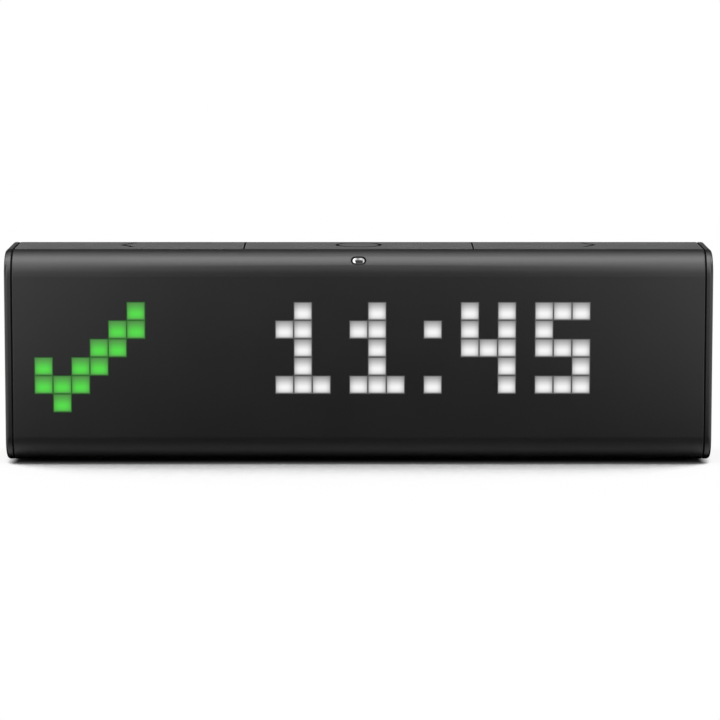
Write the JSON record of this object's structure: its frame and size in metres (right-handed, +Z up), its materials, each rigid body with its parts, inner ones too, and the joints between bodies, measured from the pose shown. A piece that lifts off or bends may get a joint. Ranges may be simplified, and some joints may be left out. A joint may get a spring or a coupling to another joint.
{
  "type": "smart wi-fi clock",
  "caption": "Long rounded bar clock with a pixel display behind a smoked front, sprung top keys, side buttons and speaker grilles in its end caps.",
  "frame": {"origin": "on the table, under the middle of the bar", "axes": "+X to the right seen from the front, -Y out of the front face, +Z up"},
  "size_m": [0.201, 0.036, 0.061],
  "materials": {
    "smoked_plastic": "smoked black, satin",
    "body_plastic": "black, fine satin grain",
    "key_plastic": "black, fine satin grain",
    "button_plastic": "black, satin",
    "foot_rubber": "matt black",
    "gasket_foam": "matt black foam",
    "inner_plastic": "black moulding",
    "white_plastic": "white moulding",
    "clear_lens": "clear moulding",
    "circuit_board": "green solder mask",
    "led_package": "white package",
    "chip_plastic": "black package",
    "steel": "bright plated",
    "magnet_iron": "plated",
    "cone_paper": "black paper",
    "ribbon_film": "amber film",
    "lead_sleeve": "red sleeve"
  },
  "bodies": {
    "housing": {"front_shell": "smoked_plastic", "rear_cover": "body_plastic", "left_end_cap": "body_plastic", "right_end_cap": "body_plastic", "foot_pad": "foot_rubber", "left_speaker_gasket": "gasket_foam", "right_speaker_gasket": "gasket_foam", "key_frame": "inner_plastic", "key_switches": "inner_plastic", "power_switch": "inner_plastic", "volume_switches": "inner_plastic", "left_speaker_frame": "inner_plastic", "right_speaker_frame": "inner_plastic", "usb_tongue": "inner_plastic", "light_grid": "white_plastic", "diffuser_sheet": "white_plastic", "board_connectors": "white_plastic", "sensor_lens": "clear_lens", "key_board": "circuit_board", "led_board": "circuit_board", "main_board": "circuit_board", "left_switch_board": "circuit_board", "right_switch_board": "circuit_board", "display_leds": "led_package", "processor": "chip_plastic", "memory_chip": "chip_plastic", "light_sensor": "chip_plastic", "frame_screws": "steel", "key_board_screws": "steel", "led_board_screws": "steel", "main_board_screws": "steel", "switch_board_screws": "steel", "floor_screws": "steel", "wifi_module": "steel", "usb_socket": "steel", "left_speaker_magnet": "magnet_iron", "right_speaker_magnet": "magnet_iron", "left_speaker_cone": "cone_paper", "right_speaker_cone": "cone_paper", "display_ribbon": "ribbon_film", "key_ribbon": "ribbon_film", "switch_ribbons": "ribbon_film", "speaker_leads": "lead_sleeve"},
    "left_key": {"left_key": "key_plastic", "left_key_stem": "white_plastic"},
    "centre_key": {"centre_key": "key_plastic", "centre_key_stem": "white_plastic"},
    "right_key": {"right_key": "key_plastic", "right_key_stem": "white_plastic"},
    "power_button": {"power_button": "button_plastic", "power_stem": "white_plastic"},
    "volume_up": {"volume_up_button": "button_plastic", "volume_up_stem": "white_plastic"},
    "volume_down": {"volume_down_button": "button_plastic", "volume_down_stem": "white_plastic"}
  },
  "joints": [
    {"name": "left_key_press", "type": "slide", "parent": "housing", "child": "left_key", "axis": [0, 0, -1], "range_m": [0, 0.0005], "stiffness_N_per_m": 600, "springref_m": -0.001},
    {"name": "centre_key_press", "type": "slide", "parent": "housing", "child": "centre_key", "axis": [0, 0, -1], "range_m": [0, 0.0005], "stiffness_N_per_m": 600, "springref_m": -0.001},
    {"name": "right_key_press", "type": "slide", "parent": "housing", "child": "right_key", "axis": [0, 0, -1], "range_m": [0, 0.0005], "stiffness_N_per_m": 600, "springref_m": -0.001},
    {"name": "power_button_press", "type": "slide", "parent": "housing", "child": "power_button", "axis": [1, 0, 0], "range_m": [0, 0.0005], "stiffness_N_per_m": 300, "springref_m": -0.001},
    {"name": "volume_up_press", "type": "slide", "parent": "housing", "child": "volume_up", "axis": [-1, 0, 0], "range_m": [0, 0.0005], "stiffness_N_per_m": 300, "springref_m": -0.001},
    {"name": "volume_down_press", "type": "slide", "parent": "housing", "child": "volume_down", "axis": [-1, 0, 0], "range_m": [0, 0.0005], "stiffness_N_per_m": 300, "springref_m": -0.001}
  ]
}
